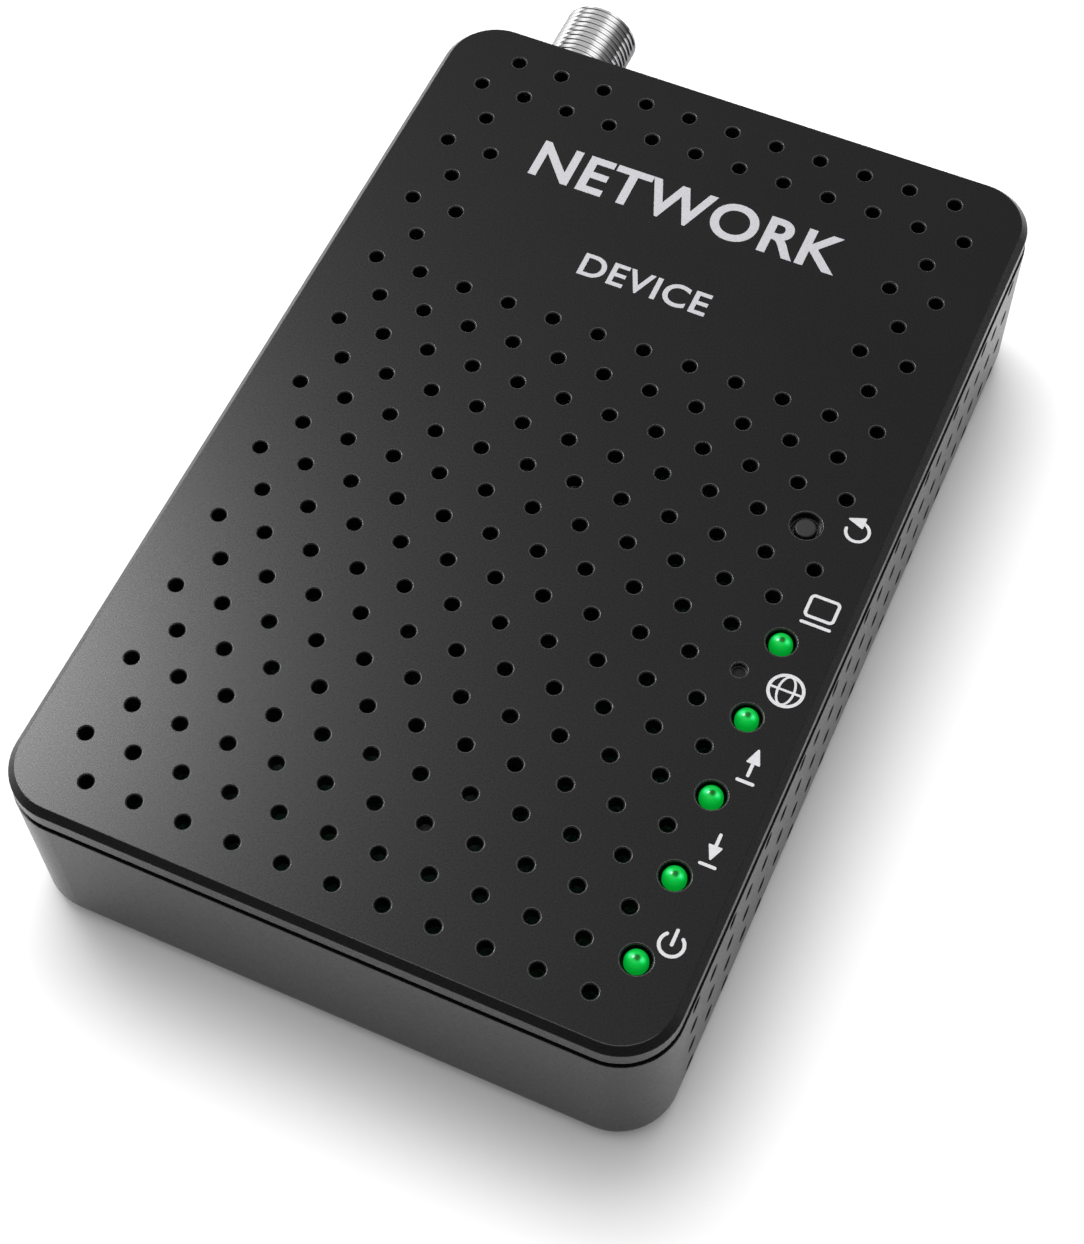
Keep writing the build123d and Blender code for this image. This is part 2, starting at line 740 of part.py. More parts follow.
modem_place = (-4.0, -12.0)
modem_chip_height = 1.6
tuner_place = (-16.5, 28.0)
crystal_place = (-4.0, -35.0)
passive_fields = [(-4.0, 10.0), (10.5, -40.0), (-13.0, -45.0)]

flat_chip("modem_chip", modem_place, (21.0, 21.0), modem_chip_height)
flat_chip("tuner_chip", tuner_place, (9.0, 9.0), 0.9)
flat_chip("memory_chip", (-26.5, -12.0), (9.0, 13.3), 1.2)
leaded_chip("flash_chip", (-24.0, -34.0), 7.5, 10.3, 2.5, 8, 0.4)
leaded_chip("ethernet_magnetics", (2.5, 33.0), 9.5, 12.7, 5.0, 8, 0.5)
leaded_chip("supply_regulator", (17.0, 16.0), 4.0, 5.0, 1.6, 4, 0.4)
electrolytic("input_capacitor", (27.5, 25.0), 4.0, 10.2)
electrolytic("output_capacitor", (20.0, 5.0), 3.15, 7.7)
electrolytic("tuner_capacitor", (-28.0, 8.0), 2.5, 5.4)
inductor("supply_inductor", (17.5, 26.5), 7.0, 4.0)
inductor("core_inductor", (20.0, -6.0), 5.0, 3.0)

pad_thickness = 0.5
pad_size = 20.0
heatsink_foot = board_top + modem_chip_height + pad_thickness
heatsink_size = 30.0
heatsink_base = 2.0
heatsink_height = 9.0
fin_count = 9
fin_thickness = 1.1

with BuildPart() as thermal_pad:
    with BuildSketch(level(board_top + modem_chip_height, *modem_place)):
        Rectangle(pad_size, pad_size)
    extrude(amount=pad_thickness)
save(thermal_pad, "thermal_pad")

with BuildPart() as heatsink:
    with BuildSketch(level(heatsink_foot, *modem_place)):
        Rectangle(heatsink_size, heatsink_size)
    extrude(amount=heatsink_base)
    with BuildSketch(level(heatsink_foot + heatsink_base, *modem_place)):
        with GridLocations((heatsink_size - fin_thickness) / (fin_count - 1), 1, fin_count, 1):
            Rectangle(fin_thickness, heatsink_size)
    extrude(amount=heatsink_height - heatsink_base)
save(heatsink, "heatsink")

shield_width = 20.0
shield_length = 24.0
shield_height = 4.0
shield_corner = 0.6
shield_hole_pitch = 3.0

with BuildPart() as tuner_shield:
    with BuildSketch(level(board_top, *tuner_place)):
        RectangleRounded(shield_width, shield_length, shield_corner)
    extrude(amount=shield_height)
    with BuildSketch(level(board_top, *tuner_place)):
        RectangleRounded(shield_width - 2 * sheet, shield_length - 2 * sheet, shield_corner - sheet)
    extrude(amount=shield_height - sheet, mode=Mode.SUBTRACT)
    with BuildSketch(level(board_top + shield_height, *tuner_place)):
        with GridLocations(shield_hole_pitch, shield_hole_pitch, 5, 6):
            Circle(shield_hole_pitch / 5)
    extrude(amount=-2 * sheet, mode=Mode.SUBTRACT)
save(tuner_shield, "tuner_shield")

crystal_rim = 0.7
crystal_can = 2.8

with BuildPart() as crystal:
    with BuildSketch(level(board_top, *crystal_place)):
        SlotOverall(12.4, 5.0)
    extrude(amount=crystal_rim)
    with BuildSketch(level(board_top + crystal_rim, *crystal_place)):
        SlotOverall(11.2, 4.2)
    extrude(amount=crystal_can)
    fillet(crystal.faces().sort_by(Axis.Z)[-1].edges(), radius=0.4)
save(crystal, "crystal")

with BuildPart() as board_passives:
    for field in passive_fields:
        with BuildSketch(level(board_top, *field)):
            with GridLocations(3.2, 2.4, 4, 3):
                Rectangle(1.6, 0.8)
        extrude(amount=0.6)
save(board_passives, "board_passives")

# ---- Status lights and light pipe ----------------------------------------------------
led_height = 0.8
led_base = 0.35
led_width = 2.0
led_depth = 1.25
pipe_radius = 1.25
dome_rise = 0.65                # dome tops stand this far above the top face
pipe_foot = board_top + led_height + 0.4
dome_base = top_face + dome_rise - pipe_radius
carrier_half_width = 1.6
carrier_tab_width = 3.6

for number, (x, y) in enumerate(led_places, start=1):
    with BuildPart() as status_led:
        with BuildSketch(level(board_top, x, y)):
            Rectangle(led_width, led_depth)
        extrude(amount=led_base)
        with BuildSketch(level(board_top + led_base, x, y)):
            Rectangle(0.65 * led_width, led_depth)
        extrude(amount=led_height - led_base)
    save(status_led, f"status_led_{number}")

with BuildPart() as light_pipe:
    first_y, last_y = led_places[0][1], led_places[-1][1]
    with BuildSketch(level(carrier_bottom, led_places[0][0], (first_y + last_y) / 2)):
        Rectangle(2 * carrier_half_width, first_y - last_y + 2 * carrier_half_width)
    extrude(amount=carrier_top - carrier_bottom)
    with BuildSketch(level(carrier_bottom, *blind_vent_place)):
        tab_reach = led_places[0][0] - blind_vent_place[0]
        SlotCenterToCenter(tab_reach, carrier_tab_width)
        with Locations((tab_reach / 2, 0)):
            Rectangle(tab_reach, carrier_tab_width)
    extrude(amount=carrier_top - carrier_bottom)
    with BuildSketch(level(pipe_foot)):
        with Locations(*led_places):
            Circle(pipe_radius)
    extrude(amount=dome_base - pipe_foot)
    with Locations(*[level(dome_base, x, y) for x, y in led_places]):
        Sphere(pipe_radius)
    with BuildSketch(level(carrier_bottom)):
        with Locations(*stake_places):
            Circle(stake_radius + 0.05)
    extrude(amount=carrier_top - carrier_bottom, mode=Mode.SUBTRACT)
save(light_pipe, "light_pipe")

# ---- Reset button and its switch -----------------------------------------------------
button_top = top_face - 0.4
button_stem = guide_bore - 0.07
flange_top = guide_foot - 0.1
switch_top = board_top + 3.5
plunger_top = board_top + 5.0
plunger_radius = 1.75
plunger_collar_radius = 2.3
plunger_collar = 0.7
button_flange_radius = 2.1
button_flange = 1.0
button_foot_radius = 1.5
switch_size = 6.0
dome_radius = 2.5
dome_sheet = 0.1
dome_rest = board_top + 0.65
dome_top = board_top + 1.35
plunger_foot = dome_top + 0.05

with BuildPart() as reset_button:
    with BuildSketch(level(flange_top, *reset_place)):
        Circle(button_stem)
    extrude(amount=button_top - flange_top)
    fillet(reset_button.faces().sort_by(Axis.Z)[-1].edges(), radius=0.2)
    with BuildSketch(level(flange_top - button_flange, *reset_place)):
        Circle(button_flange_radius)
    extrude(amount=button_flange)
    with BuildSketch(level(plunger_top, *reset_place)):
        Circle(button_foot_radius)
    extrude(amount=flange_top - button_flange - plunger_top)
save(reset_button, "reset_button")

with BuildPart() as switch_housing:
    with BuildSketch(level(board_top, *reset_place)):
        Rectangle(switch_size, switch_size)
    extrude(amount=switch_top - board_top)
    # chamber for the dome and the plunger's collar, and the plunger's way out
    with BuildSketch(level(board_top + 0.6, *reset_place)):
        Circle(dome_radius + 0.1)
    extrude(amount=2.2, mode=Mode.SUBTRACT)
    with BuildSketch(level(board_top + 2.0, *reset_place)):
        Circle(plunger_radius + 0.06)
    extrude(amount=2.0, mode=Mode.SUBTRACT)
    chamfer(switch_housing.edges().filter_by(Axis.Z).filter_by(GeomType.LINE), length=0.4)
save(switch_housing, "reset_switch_housing")

with BuildPart() as switch_plunger:
    with BuildSketch(level(plunger_foot, *reset_place)):
        Circle(plunger_radius)
    extrude(amount=plunger_top - plunger_foot)
    with BuildSketch(level(plunger_foot + 0.6, *reset_place)):
        Circle(plunger_collar_radius)
    extrude(amount=plunger_collar)
save(switch_plunger, "reset_switch_plunger")

with BuildPart() as switch_dome:
    with BuildSketch(profile_plane(reset_place[0])):
        with BuildLine():
            ThreePointArc(
                (reset_place[1] - dome_radius, dome_rest),
                (reset_place[1], dome_top - dome_sheet),
                (reset_place[1] + dome_radius, dome_rest),
            )
        trace(line_width=dome_sheet)
        with Locations((reset_place[1], 0)):
            Rectangle(20, 60, align=(Align.MIN, Align.MIN), mode=Mode.SUBTRACT)
    revolve(axis=Axis((reset_place[0], case_y + reset_place[1], 0), (0, 0, 1)))
save(switch_dome, "reset_switch_dome")

# ---- Printed symbols beside the lights and the button ---------------------------------
ink = 0.03
stroke = 0.36
fine_stroke = 0.26
symbol_x = 5.955 * pitch


def bar(length, width=stroke, rotation=0.0):
    """Straight line with round ends on the open sketch."""
    SlotOverall(length, width, rotation=rotation)


def broken_ring(radius, gap_start, gap_end):
    """Circle line with round ends and a gap between two angles in degrees, on the open sketch."""
    gap_angles = (gap_start, (gap_start + gap_end) / 2, gap_end)
    ways = [(cos(radians(angle)), sin(radians(angle))) for angle in gap_angles]
    Circle(radius + stroke / 2)
    Circle(radius - stroke / 2, mode=Mode.SUBTRACT)
    Polygon((0, 0), *[(3 * radius * x, 3 * radius * y) for x, y in ways], align=None, mode=Mode.SUBTRACT)
    with Locations(*[(radius * x, radius * y) for x, y in (ways[0], ways[-1])]):
        Circle(stroke / 2)


def arrow_head(*corners):
    """Filled triangle with softened corners on the open sketch."""
    core = Polygon(*corners, align=None, mode=Mode.PRIVATE)
    add(offset(core, amount=0.12, mode=Mode.PRIVATE))


def symbol_plane(y):
    """Work plane on the top face for the symbol centred y lattice pitches from the case's centre."""
    return level(top_face, symbol_x, y * pitch)


with BuildPart() as symbols:
    # restart: most of a circle that runs into an arrow head
    with BuildSketch(symbol_plane(1.125)):
        broken_ring(1.25, 70, 180)
        arrow_head((-1.27, 1.24), (0.28, 0.65), (0.28, 1.83))
    extrude(amount=ink)
    # local network: a screen over a base line
    with BuildSketch(symbol_plane(-0.765)):
        RectangleRounded(3.44, 2.92, 0.6)
        RectangleRounded(3.44 - 2 * stroke, 2.92 - 2 * stroke, 0.25, mode=Mode.SUBTRACT)
        with Locations((0, -2.13)):
            bar(3.44)
    extrude(amount=ink)
    # internet: a globe
    with BuildSketch(symbol_plane(-2.668)):
        Circle(2.0)
        Circle(2.0 - stroke, mode=Mode.SUBTRACT)
        Ellipse(0.85 + fine_stroke / 2, 1.8)
        Ellipse(0.85 - fine_stroke / 2, 1.55, mode=Mode.SUBTRACT)
        Rectangle(3.8, fine_stroke)
    extrude(amount=ink)
    # upstream: an arrow away from a base line
    with BuildSketch(symbol_plane(-4.35)):
        with Locations((0, -0.6)):
            bar(1.6, rotation=90)
        with Locations((0, -2.0)):
            bar(2.0, 0.38)
        arrow_head((0, 1.8), (-0.6, 0.26), (0.6, 0.26))
    extrude(amount=ink)
    # downstream: an arrow down to a base line
    with BuildSketch(symbol_plane(-6.2)):
        with Locations((0, 1.2)):
            bar(1.6, rotation=90)
        with Locations((0, -1.73)):
            bar(1.92, 0.36)
        arrow_head((0, -0.95), (-0.6, 0.43), (0.6, 0.43))
    extrude(amount=ink)
    # power: a broken circle with a bar in the gap
    with BuildSketch(symbol_plane(-8.162)):
        broken_ring(1.24, 48, 132)
        with Locations((0, 0.8)):
            bar(1.97, rotation=90)
    extrude(amount=ink)
save(symbols, "printed_symbols")
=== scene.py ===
import json
from math import cos, radians, sin

import bpy
from mathutils import Matrix, Vector


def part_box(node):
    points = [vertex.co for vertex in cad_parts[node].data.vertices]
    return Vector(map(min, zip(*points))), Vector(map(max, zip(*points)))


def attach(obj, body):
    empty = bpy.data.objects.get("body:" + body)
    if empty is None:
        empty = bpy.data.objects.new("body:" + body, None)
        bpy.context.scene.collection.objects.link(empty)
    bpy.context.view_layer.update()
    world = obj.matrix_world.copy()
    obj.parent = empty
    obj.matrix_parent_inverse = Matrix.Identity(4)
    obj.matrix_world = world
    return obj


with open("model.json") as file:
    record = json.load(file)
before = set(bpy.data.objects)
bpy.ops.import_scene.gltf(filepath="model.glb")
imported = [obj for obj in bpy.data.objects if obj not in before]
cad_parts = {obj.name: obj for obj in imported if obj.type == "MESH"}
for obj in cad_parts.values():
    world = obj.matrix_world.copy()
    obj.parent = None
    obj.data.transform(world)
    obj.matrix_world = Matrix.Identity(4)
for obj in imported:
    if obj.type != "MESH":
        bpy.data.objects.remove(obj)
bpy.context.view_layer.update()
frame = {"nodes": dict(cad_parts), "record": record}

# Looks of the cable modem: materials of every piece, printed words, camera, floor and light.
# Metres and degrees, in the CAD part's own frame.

MM = 0.001
MICRON = 0.000001

NOISE_LOW, NOISE_HIGH = 0.3, 0.7        # a noise texture seldom leaves this range
BEVEL_SAMPLES = 6

# Stretch of a metal's marks: drawn out along an axis, or squeezed into rings about it.
DRAWN_ALONG_X = (0.1, 1, 1)
DRAWN_ALONG_Y = (1, 0.1, 1)
DRAWN_ALONG_Z = (1, 1, 0.1)
HEADED_ALONG_Z = (1, 1, 0.2)
TURNED_ABOUT_Y = (1, 14, 1)

cover_right, _, top_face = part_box("top_cover")[1]
ink_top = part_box("printed_symbols")[1][2]


def middle(name):
    """Centre of a CAD part's box."""
    low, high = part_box(name)
    return [(a + b) / 2 for a, b in zip(low, high)]


def tone(colour, amount):
    """The colour made this many times as bright."""
    return tuple(channel * amount for channel in colour)


# ---- Node helpers --------------------------------------------------------------------


def add_node(tree, kind, inputs, output=0, **settings):
    """A node with its settings and inputs, given as values or as other nodes' outputs."""
    node = tree.nodes.new(kind)
    for name, value in settings.items():
        setattr(node, name, value)
    for name, value in inputs.items():
        if isinstance(value, bpy.types.NodeSocket):
            tree.links.new(value, node.inputs[name])
        else:
            node.inputs[name].default_value = value
    return node.outputs[output]


def ramp_inputs(value, from_min, from_max, to_min=0.0, to_max=1.0):
    """Inputs of a Map Range node."""
    return {"Value": value, "From Min": from_min, "From Max": from_max, "To Min": to_min, "To Max": to_max}


class Look:
    """A material with a Principled shader, and short ways to add procedural detail to it."""

    def __init__(self, name, **constants):
        self.material = bpy.data.materials.new(name)
        self.material.use_nodes = True
        self.tree = self.material.node_tree
        self.shader = self.tree.nodes["Principled BSDF"]
        self.place = self.tree.nodes.new("ShaderNodeTexCoord").outputs["Object"]
        for name, value in constants.items():
            self.shader.inputs[name.replace("_", " ")].default_value = value

    def add(self, kind, inputs, output=0, **settings):
        return add_node(self.tree, kind, inputs, output, **settings)

    def math(self, operation, *values):
        return self.add("ShaderNodeMath", dict(enumerate(values)), operation=operation)

    def vector_math(self, operation, first, second, output=0):
        return self.add("ShaderNodeVectorMath", {0: first, 1: second}, output, operation=operation)

    def noise(self, size, detail=2.0, stretch=(1, 1, 1)):
        """Noise with features of about this size, drawn out along the axes where stretch is under 1."""
        place = self.vector_math("MULTIPLY", self.place, stretch)
        return self.add("ShaderNodeTexNoise", {"Vector": place, "Scale": 1 / size, "Detail": detail})

    def between(self, noise, low, high):
        """The noise's range spread over low to high."""
        return self.add("ShaderNodeMapRange", ramp_inputs(noise, NOISE_LOW, NOISE_HIGH, low, high))

    def colours(self, factor, *stops):
        """Colour ramp through (position, colour) stops."""
        ramp = self.tree.nodes.new("ShaderNodeValToRGB")
        elements = ramp.color_ramp.elements
        while len(elements) < len(stops):
            elements.new(0.5)
        for element, (position, colour) in zip(elements, stops):
            element.position = position
            element.color = (*colour, 1)
        self.tree.links.new(factor, ramp.inputs["Fac"])
        return ramp.outputs["Color"]

    def blend(self, noise, first, second):
        """From one colour to the other as the noise goes through its range."""
        return self.colours(noise, (NOISE_LOW, first), (NOISE_HIGH, second))

    def smooth(self, value, start, end):
        """0 at the start value, rising smoothly to 1 at the end value."""
        inputs = ramp_inputs(value, start, end)
        return self.add("ShaderNodeMapRange", inputs, interpolation_type="SMOOTHSTEP")

    def coordinate(self, axis):
        return self.add("ShaderNodeSeparateXYZ", {"Vector": self.place}, output=axis)

    def length(self, a, b):
        return self.math("SQRT", self.math("MULTIPLY_ADD", a, a, self.math("MULTIPLY", b, b)))

    def rounded(self, radius):
        """The surface's normal, as if its sharp edges were rounded to this radius."""
        return self.add("ShaderNodeBevel", {"Radius": radius}, samples=BEVEL_SAMPLES)

    def set(self, socket, value):
        self.tree.links.new(value, self.shader.inputs[socket])

    def source(self, socket):
        """What the shader's socket is linked to so far."""
        return self.shader.inputs[socket].links[0].from_socket

    def bump(self, height, depth, edge=0.0):
        """Relief of this depth, over edges that look rounded to the radius given as edge."""
        inputs = {"Height": height, "Distance": depth}
        if edge:
            inputs["Normal"] = self.rounded(edge)
        self.set("Normal", self.add("ShaderNodeBump", inputs))


# ---- Materials, one for each slot ----------------------------------------------------

for imported in list(bpy.data.materials):
    bpy.data.materials.remove(imported)


def moulded(name, colour, roughness, grain, depth, edge=0.1 * MM, **constants):
    """Moulded plastic: spark-eroded grain, slow drift of colour and uneven gloss."""
    look = Look(name, **constants)
    drift = look.noise(14 * MM, detail=3)
    fine = look.noise(grain, detail=3)
    look.set("Base Color", look.blend(drift, tone(colour, 0.92), tone(colour, 1.08)))
    look.set("Roughness", look.between(fine, roughness - 0.03, roughness + 0.03))
    look.bump(fine, depth, edge)
    return look


def case_plastic():
    """Black satin plastic with a painted highlight along sharp edges, paler there but not out at the sides
    of the cover.
    """
    colour = (0.004, 0.004, 0.0043)
    relief = {"grain": 0.2 * MM, "depth": 1.2 * MICRON, "edge": 0.12 * MM}
    painted_highlight_width = 0.16 * MM
    painted_highlight_brightness = 0.14
    painted_highlight_up_to = cover_right - 1.95 * MM
    black_from = cover_right - 1.15 * MM
    look = moulded("case_plastic", colour, 0.28, **relief, IOR=1.3)
    # Painted highlight: the base colour turns paler where the rounded-edge normal leans away from the face,
    # as if the edges caught the light.
    face = look.add("ShaderNodeNewGeometry", {}, output="Normal")
    agreement = look.vector_math("DOT_PRODUCT", look.rounded(painted_highlight_width), face, output=1)
    painted_highlight = look.add("ShaderNodeMapRange", ramp_inputs(agreement, 0.99, 0.86, 0.0, painted_highlight_brightness))
    inside = look.smooth(look.math("ABSOLUTE", look.coordinate("X")), black_from, painted_highlight_up_to)
    paler = look.math("MULTIPLY", painted_highlight, inside)
    look.set("Base Color", look.vector_math("ADD", look.source("Base Color"), paler))
    return look


def print_ink(name, colour):
    look = Look(name)
    mottle = look.noise(0.35 * MM, detail=4)
    look.set("Base Color", look.blend(mottle, tone(colour, 0.93), tone(colour, 1.07)))
    look.set("Roughness", look.between(mottle, 0.45, 0.6))
    look.bump(look.noise(0.2 * MM, detail=3), 4 * MICRON)
    return look


def worked_metal(name, roughness, stretch, spread, **constants):
    """Metal with fine drawn or turned marks, and the noise that makes them."""
    look = Look(name, Metallic=1.0, **constants)
    marks = look.noise(0.12 * MM, detail=3, stretch=stretch)
    clouds = look.noise(1.5 * MM, detail=3)
    look.set("Roughness", look.between(clouds, roughness - spread, roughness + spread))
    look.bump(marks, 2 * MICRON)
    return look, marks


def plated(name, colour, roughness, stretch):
    """Bare or plated metal, a little darker in its marks."""
    look, marks = worked_metal(name, roughness, stretch, spread=0.05)
    look.set("Base Color", look.blend(marks, tone(colour, 0.9), colour))
    return look


def nickel_plate():
    """Bright plating, darkened by painted shade towards both sides and in the thread's grooves."""
    groove_radius, crest_radius = 4.6 * MM, 4.76 * MM
    side_reach = 4.7 * MM
    groove_brightness = 0.004
    edge_tint = (0.3, 0.3, 0.3, 1)
    look, _ = worked_metal("nickel_plate", 0.1, TURNED_ABOUT_Y, spread=0.03, Specular_Tint=edge_tint)
    axis_x, _, axis_z = middle("coax_contact")
    across = look.math("SUBTRACT", look.coordinate("X"), axis_x)
    up = look.math("SUBTRACT", look.coordinate("Z"), axis_z)
    # Painted shade: the base colour falls to nearly black in the thread's grooves and darkens towards both
    # sides of the connector's axis.
    unshaded_crest = look.smooth(look.length(across, up), groove_radius, crest_radius)
    side = look.math("DIVIDE", look.math("ABSOLUTE", across), side_reach)
    bright = look.colours(side, (0.6, (0.93, 0.93, 0.93)), (0.93, (0.36, 0.36, 0.37)))
    shade = look.math("MAXIMUM", unshaded_crest, groove_brightness)
    look.set("Base Color", look.vector_math("MULTIPLY", bright, shade))
    return look


def label_film():
    look = Look("label_film", Metallic=0.3)
    drift = look.noise(9 * MM, detail=3)
    look.set("Base Color", look.blend(drift, (0.5, 0.51, 0.52), (0.58, 0.59, 0.6)))
    look.set("Roughness", look.between(look.noise(2 * MM, detail=3), 0.3, 0.42))
    look.bump(look.noise(0.8 * MM), 6 * MICRON)
    return look


def board_laminate():
    """Solder mask over copper: straight runs and small pads show as a lighter green."""
    run_length = 3 * MM
    pad_spacing = 2.2 * MM
    pad_size = 0.16         # in pad spacings
    look = Look("board_laminate", Coat_Weight=0.6, Coat_Roughness=0.12)
    layout = {"Vector": look.place, "Scale": 1 / run_length, "Mortar Size": 0.03}
    runs = look.add("ShaderNodeTexBrick", layout)
    from_pad = look.add("ShaderNodeTexVoronoi", {"Vector": look.place, "Scale": 1 / pad_spacing})
    copper = look.math("MAXIMUM", runs, look.math("LESS_THAN", from_pad, pad_size))
    look.set("Base Color", look.colours(copper, (0.0, (0.006, 0.05, 0.022)), (1.0, (0.02, 0.14, 0.06))))
    look.set("Roughness", look.between(look.noise(1 * MM, detail=3), 0.3, 0.45))
    look.bump(copper, 30 * MICRON)
    return look


def speckled(name, dark, light, size, roughness):
    """Sintered or filled material with specks of this size."""
    look = Look(name)
    specks = look.noise(size, detail=4)
    look.set("Base Color", look.colours(specks, (0.35, dark), (0.65, light)))
    clouds = look.noise(3 * size, detail=3)
    look.set("Roughness", look.between(clouds, roughness - 0.06, roughness + 0.06))
    look.bump(specks, 8 * MICRON)
    return look


def light_pipe_acrylic():
    """Acrylic lit from below: each dome glows, with a painted highlight at two spots beside a dark core."""
    dome_height = 1.6 * MM
    body_glow, highlight_lobe_glow = 0.62, 0.42
    look = Look("light_pipe_acrylic", IOR=1.3, Roughness=0.2, Transmission_Weight=0.3)
    axis_x, first_y, _ = middle("status_led_1")
    spacing = abs(middle("status_led_2")[1] - first_y)
    across = look.math("SUBTRACT", look.coordinate("X"), axis_x)
    from_first = look.math("SUBTRACT", look.coordinate("Y"), first_y)
    along = look.math("WRAP", from_first, spacing / 2, -spacing / 2)

    def spot(offset, radius):
        """1 at a point this far to the side of a dome's axis, falling to 0 at the radius."""
        return look.smooth(look.length(look.math("SUBTRACT", across, offset), along), radius, 0.0)

    body = look.math("MULTIPLY", spot(0.0, 2.1 * MM), body_glow)
    # Painted highlights: the two brighter spots in each dome's glow stand in for reflected and refracted
    # light; the rest of the glow is the lit pipe's own.
    highlight_lobes = look.math("ADD", spot(-0.62 * MM, 0.62 * MM), spot(0.62 * MM, 0.55 * MM))
    core = spot(0.1 * MM, 0.5 * MM)
    glow = look.math("SUBTRACT", look.math("MULTIPLY_ADD", highlight_lobes, highlight_lobe_glow, body), core)
    dim = (0.0, (0.0, 0.08, 0.004))
    green = (0.4, (0.0, 0.42, 0.035))
    lit_green = (0.6, (0.0, 0.6, 0.08))
    bright = (1.0, (0.08, 1.0, 0.35))
    look.set("Emission Color", look.colours(glow, dim, green, lit_green, bright))
    dome_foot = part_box("light_pipe")[1][2] - dome_height
    look.set("Emission Strength", look.math("GREATER_THAN", look.coordinate("Z"), dome_foot))
    look.set("Base Color", look.blend(look.noise(3 * MM), (0.0, 0.05, 0.01), (0.0, 0.07, 0.014)))
    look.bump(look.noise(0.6 * MM), 3 * MICRON)
    return look


def led_package():
    glow = {"Emission_Color": (0.02, 0.9, 0.2, 1), "Emission_Strength": 0.3}
    return moulded("led_package", (0.78, 0.8, 0.72), 0.35, grain=0.2 * MM, depth=3 * MICRON, **glow)


def white_insulator():
    relief = {"grain": 0.5 * MM, "depth": 6 * MICRON}
    return moulded("white_insulator", (0.82, 0.81, 0.77), 0.42, **relief, Subsurface_Weight=0.1)


looks = [
    case_plastic(),
    print_ink("print_ink", (0.45, 0.45, 0.463)),
    print_ink("word_ink", (0.36, 0.356, 0.378)),
    label_film(),
    board_laminate(),
    light_pipe_acrylic(),
    led_package(),
    moulded("button_plastic", (0.012, 0.012, 0.0125), 0.5, grain=0.3 * MM, depth=8 * MICRON, IOR=1.3),
    moulded("jack_plastic", (0.014, 0.014, 0.015), 0.45, grain=0.4 * MM, depth=8 * MICRON),
    moulded("switch_plastic", (0.3, 0.3, 0.31), 0.45, grain=0.2 * MM, depth=4 * MICRON),
    white_insulator(),
    moulded("thermal_silicone", (0.36, 0.42, 0.55), 0.75, grain=0.3 * MM, depth=12 * MICRON),
    moulded("foot_rubber", (0.018, 0.018, 0.019), 0.8, grain=0.25 * MM, depth=20 * MICRON),
    speckled("chip_epoxy", (0.012, 0.012, 0.013), (0.028, 0.028, 0.03), 0.15 * MM, 0.6),
    speckled("chip_ceramic", (0.3, 0.24, 0.17), (0.46, 0.38, 0.29), 0.12 * MM, 0.5),
    speckled("ferrite", (0.03, 0.03, 0.032), (0.07, 0.07, 0.074), 0.2 * MM, 0.65),
    nickel_plate(),
    plated("gold_contact", (0.83, 0.62, 0.28), 0.24, DRAWN_ALONG_Y),
    plated("tinned_steel", (0.66, 0.66, 0.67), 0.32, DRAWN_ALONG_X),
    plated("plated_steel", (0.62, 0.62, 0.63), 0.3, HEADED_ALONG_Z),
    plated("black_screw", (0.05, 0.05, 0.052), 0.38, HEADED_ALONG_Z),
    plated("capacitor_can", (0.7, 0.7, 0.71), 0.28, DRAWN_ALONG_Z),
    plated("anodised_aluminium", (0.06, 0.06, 0.064), 0.42, DRAWN_ALONG_X),
]
materials = {look.material.name: look.material for look in looks}

for part in frame["record"]["subparts"]:
    mesh = frame["nodes"][part["node"]].data
    mesh.materials.clear()
    mesh.materials.append(materials[part["material_slot"]])


# ---- Printed words -------------------------------------------------------------------


def printed_word(name, text, middle_x, middle_y, width, height, stroke):
    """A word in pad print on the top face, sized by its capitals and thickened by the stroke."""
    curve = bpy.data.curves.new(name, "FONT")
    curve.body = text
    curve.align_x = "CENTER"
    curve.align_y = "CENTER"
    curve.fill_mode = "BOTH"
    curve.materials.append(materials["word_ink"])
    word = bpy.data.objects.new(name, curve)
    bpy.context.collection.objects.link(word)
    bpy.context.view_layer.update()
    natural = word.dimensions.copy()
    curve.size = height / natural.y
    word.scale.x = width / (natural.x * curve.size)
    curve.offset = stroke
    curve.space_character = 1.06
    curve.extrude = 0.4 * (ink_top - top_face)
    word.location = (middle_x, middle_y, (top_face + ink_top) / 2)
    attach(word, "case")


printed_word(
    "printed_word_large", "NETWORK",
    middle_x=-1.0 * MM, middle_y=33.1 * MM, width=36.0 * MM, height=5.2 * MM, stroke=0.16 * MM,
)
printed_word(
    "printed_word_small", "DEVICE",
    middle_x=-0.8 * MM, middle_y=20.9 * MM, width=14.7 * MM, height=3.1 * MM, stroke=0.07 * MM,
)


# ---- Camera --------------------------------------------------------------------------


def direction(azimuth, elevation):
    """Unit vector from the object, with azimuth 0 at the front and 90 at the right."""
    turn = radians(azimuth)
    rise = radians(elevation)
    return Vector((sin(turn) * cos(rise), -cos(turn) * cos(rise), sin(rise)))


def aim(item, position, target, roll=0.0):
    """Places a camera or lamp so that it looks at the target, rolled by that many degrees."""
    rotation = (position - target).to_track_quat("Z", "Y").to_matrix().to_4x4()
    item.matrix_world = Matrix.Translation(position) @ rotation @ Matrix.Rotation(radians(roll), 4, "Z")


view_target = Vector((6.72 * MM, -23.7 * MM, top_face))
view_distance = 245.2 * MM
view_direction = direction(azimuth=25.5, elevation=59.94)

camera = bpy.data.objects.new("camera", bpy.data.cameras.new("camera"))
camera.data.lens = 68.5
camera.data.clip_start = 0.01
bpy.context.collection.objects.link(camera)
bpy.context.scene.camera = camera
aim(camera, view_target + view_distance * view_direction, view_target, roll=-1.54)


# ---- Floor and light -----------------------------------------------------------------


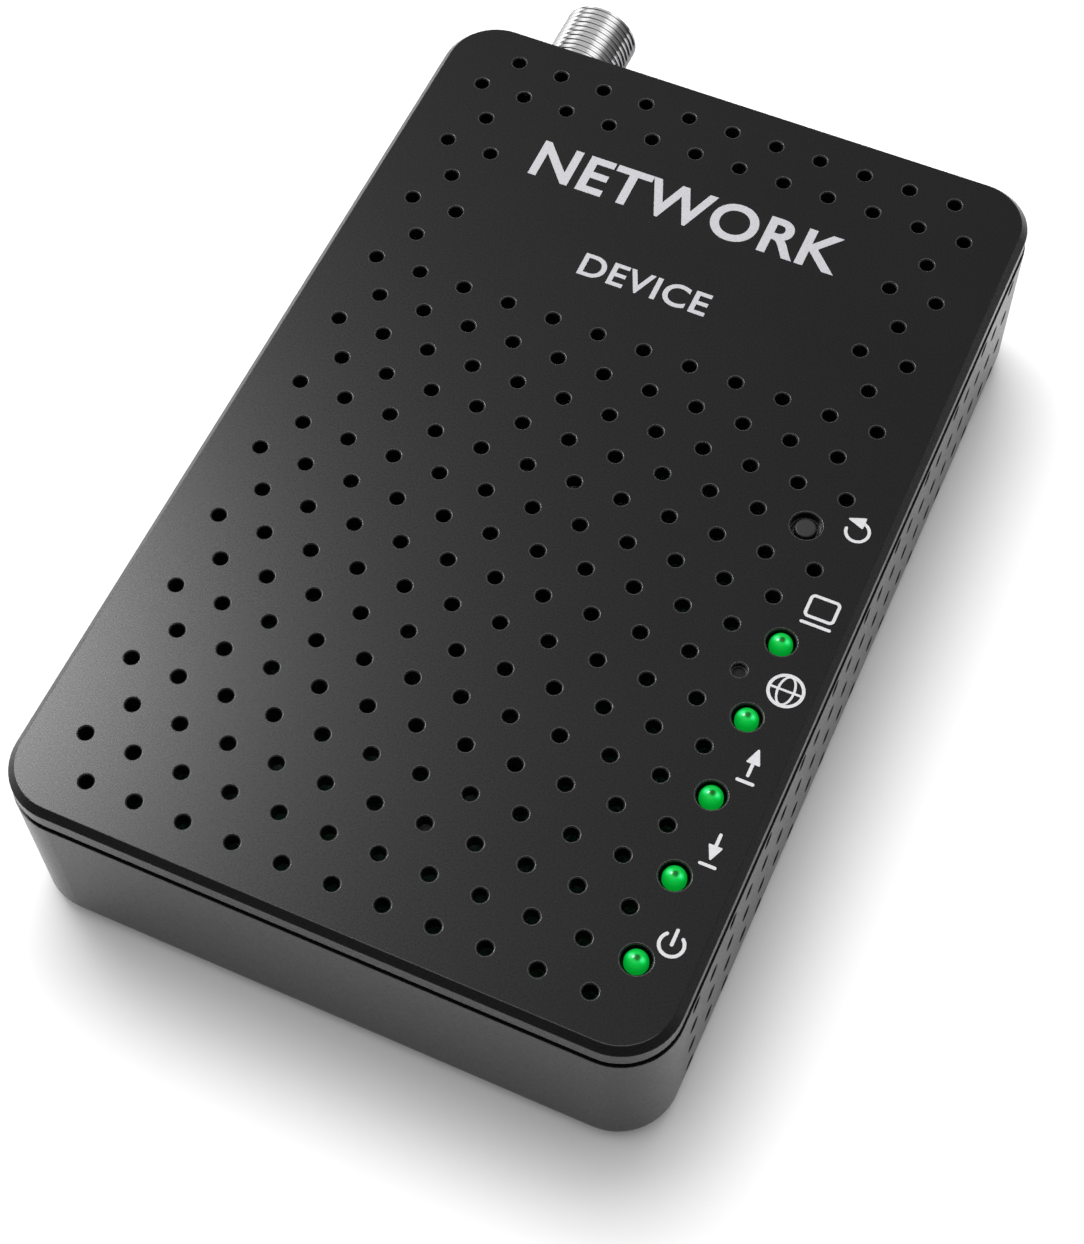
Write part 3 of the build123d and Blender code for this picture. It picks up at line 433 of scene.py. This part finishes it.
def floor():
    half = 1.5
    corners = [(-half, -half, 0), (half, -half, 0), (half, half, 0), (-half, half, 0)]
    mesh = bpy.data.meshes.new("floor")
    mesh.from_pydata(corners, [], [(0, 1, 2, 3)])
    paper = Look("floor_paper")
    fibres = paper.noise(80 * MM)
    paper.set("Base Color", paper.blend(fibres, (0.86, 0.86, 0.86), (0.88, 0.88, 0.88)))
    paper.set("Roughness", paper.between(paper.noise(20 * MM), 0.8, 0.9))
    mesh.materials.append(paper.material)
    plane = bpy.data.objects.new("floor", mesh)
    bpy.context.collection.objects.link(plane)


def softbox(name, azimuth, elevation, width, height, power):
    """Rectangular lamp of this many watts, at a metre's distance and aimed at the object."""
    data = bpy.data.lights.new(name, "AREA")
    data.shape = "RECTANGLE"
    data.size = width
    data.size_y = height
    data.energy = power
    lamp = bpy.data.objects.new(name, data)
    bpy.context.collection.objects.link(lamp)
    aim(lamp, direction(azimuth, elevation), Vector((0, 0, 0)))
    return lamp


def studio():
    """Soft light from a white ceiling hung towards the back left, with a grey screen in front of it."""
    world = bpy.data.worlds.new("studio")
    world.use_nodes = True
    tree = world.node_tree
    way = tree.nodes.new("ShaderNodeTexCoord").outputs["Generated"]

    def disc(centre, outer, inner, outside, inside):
        """One value outside a disc of the sky and another inside it, between two angles from its centre."""
        vectors = {0: way, 1: centre}
        nearness = add_node(tree, "ShaderNodeVectorMath", vectors, output=1, operation="DOT_PRODUCT")
        inputs = ramp_inputs(nearness, cos(radians(outer)), cos(radians(inner)), outside, inside)
        return add_node(tree, "ShaderNodeMapRange", inputs, interpolation_type="SMOOTHSTEP")

    ceiling = disc(direction(225, 72), outer=65, inner=42, outside=0.2, inside=1.15)
    screen = disc(direction(204, 55), outer=30, inner=20, outside=1.0, inside=0.45)
    strength = add_node(tree, "ShaderNodeMath", {0: ceiling, 1: screen}, operation="MULTIPLY")
    background = tree.nodes["Background"]
    background.inputs["Color"].default_value = (1, 1, 1, 1)
    tree.links.new(strength, background.inputs["Strength"])
    bpy.context.scene.world = world


floor()
studio()

# One lamp lights the floor and the walls, and the other is only reflected.
overhead = softbox("overhead", azimuth=216, elevation=68, width=0.7, height=0.6, power=10.0)
overhead.visible_glossy = False
sheen = softbox("sheen_left", azimuth=248, elevation=52, width=0.3, height=0.3, power=15.0)
sheen.visible_diffuse = False

# The connector's plating would burn out under the sheen lamp, so the lamp leaves it out.
spared = bpy.data.collections.new("spared_by_sheen")
spared.objects.link(frame["nodes"]["coax_connector_body"])
spared.collection_objects[0].light_linking.link_state = "EXCLUDE"
sheen.light_linking.receiver_collection = spared

bpy.context.scene.view_settings.view_transform = "Standard"
